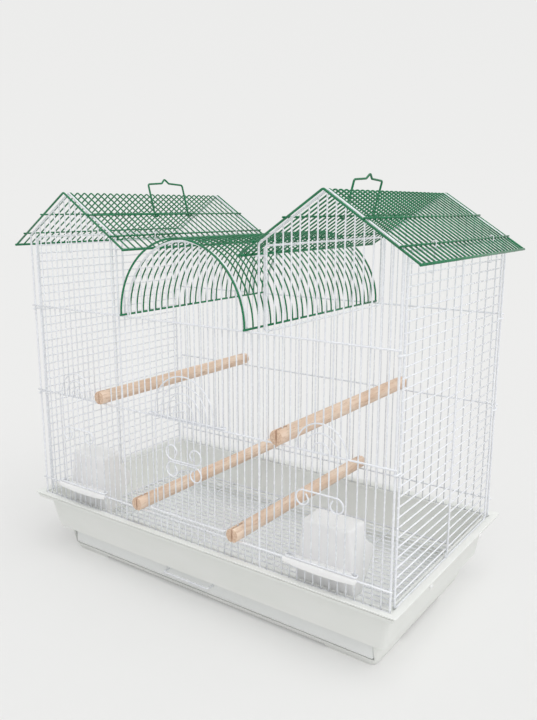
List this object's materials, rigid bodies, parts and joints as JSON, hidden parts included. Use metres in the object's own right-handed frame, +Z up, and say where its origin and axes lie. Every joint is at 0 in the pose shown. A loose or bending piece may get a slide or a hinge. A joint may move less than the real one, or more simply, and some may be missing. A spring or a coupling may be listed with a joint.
{
  "type": "bird cage",
  "caption": "Wire bird cage with two gable roofs and a barrel roof, sliding doors, hooded cups, wooden perches, carrying handles and a plastic base with a pull-out drawer.",
  "frame": {"origin": "on the ground under the middle of the cage", "axes": "+X to the right seen from the front, -Y towards the front with the doors and the drawer, +Z up"},
  "size_m": [0.6898, 0.367, 0.6203],
  "materials": {
    "white_wire": "satin powder coat",
    "green_wire": "satin powder coat",
    "base_plastic": "fine matte",
    "tray_plastic": "fine matte",
    "cup_plastic": "milky",
    "beech": "bare wood"
  },
  "bodies": {
    "cage": {"front_panel": "white_wire", "back_panel": "white_wire", "floor_grille": "white_wire", "left_side_panel": "white_wire", "right_side_panel": "white_wire", "left_inner_wall": "white_wire", "right_inner_wall": "white_wire", "left_outer_clip_front": "white_wire", "left_outer_clip_rear": "white_wire", "left_inner_clip_front": "white_wire", "left_inner_clip_rear": "white_wire", "right_outer_clip_front": "white_wire", "right_outer_clip_rear": "white_wire", "right_inner_clip_front": "white_wire", "right_inner_clip_rear": "white_wire", "left_gable_roof": "green_wire", "right_gable_roof": "green_wire", "barrel_roof": "green_wire", "base_shell": "base_plastic", "left_cup": "cup_plastic", "right_cup": "cup_plastic", "left_button_front": "cup_plastic", "left_button_rear": "cup_plastic", "right_button_front": "cup_plastic", "right_button_rear": "cup_plastic", "left_high_perch": "beech", "right_high_perch": "beech", "left_low_perch": "beech", "right_low_perch": "beech"},
    "drawer": {"drawer_tray": "tray_plastic", "drawer_pull": "white_wire"},
    "centre_door": {"centre_door": "white_wire"},
    "left_feeder_door": {"left_feeder_door": "white_wire"},
    "right_feeder_door": {"right_feeder_door": "white_wire"},
    "left_handle": {"left_handle": "green_wire"},
    "right_handle": {"right_handle": "green_wire"}
  },
  "joints": [
    {"name": "drawer_slide", "type": "slide", "parent": "cage", "child": "drawer", "axis": [0, -1, 0], "range_m": [0, 0.245]},
    {"name": "centre_door_slide", "type": "slide", "parent": "cage", "child": "centre_door", "axis": [0, 0, 1], "range_m": [0, 0.125]},
    {"name": "left_feeder_door_slide", "type": "slide", "parent": "cage", "child": "left_feeder_door", "axis": [0, 0, 1], "range_m": [0, 0.14]},
    {"name": "right_feeder_door_slide", "type": "slide", "parent": "cage", "child": "right_feeder_door", "axis": [0, 0, 1], "range_m": [0, 0.14]},
    {"name": "left_handle_hinge", "type": "hinge", "parent": "cage", "child": "left_handle", "pos_m": [-0.16884, -0.0025, 0.56308], "axis": [0, 1, 0], "range_deg": [-35, 127]},
    {"name": "right_handle_hinge", "type": "hinge", "parent": "cage", "child": "right_handle", "pos_m": [0.16884, -0.0025, 0.56308], "axis": [0, -1, 0], "range_deg": [-35, 127]}
  ]
}
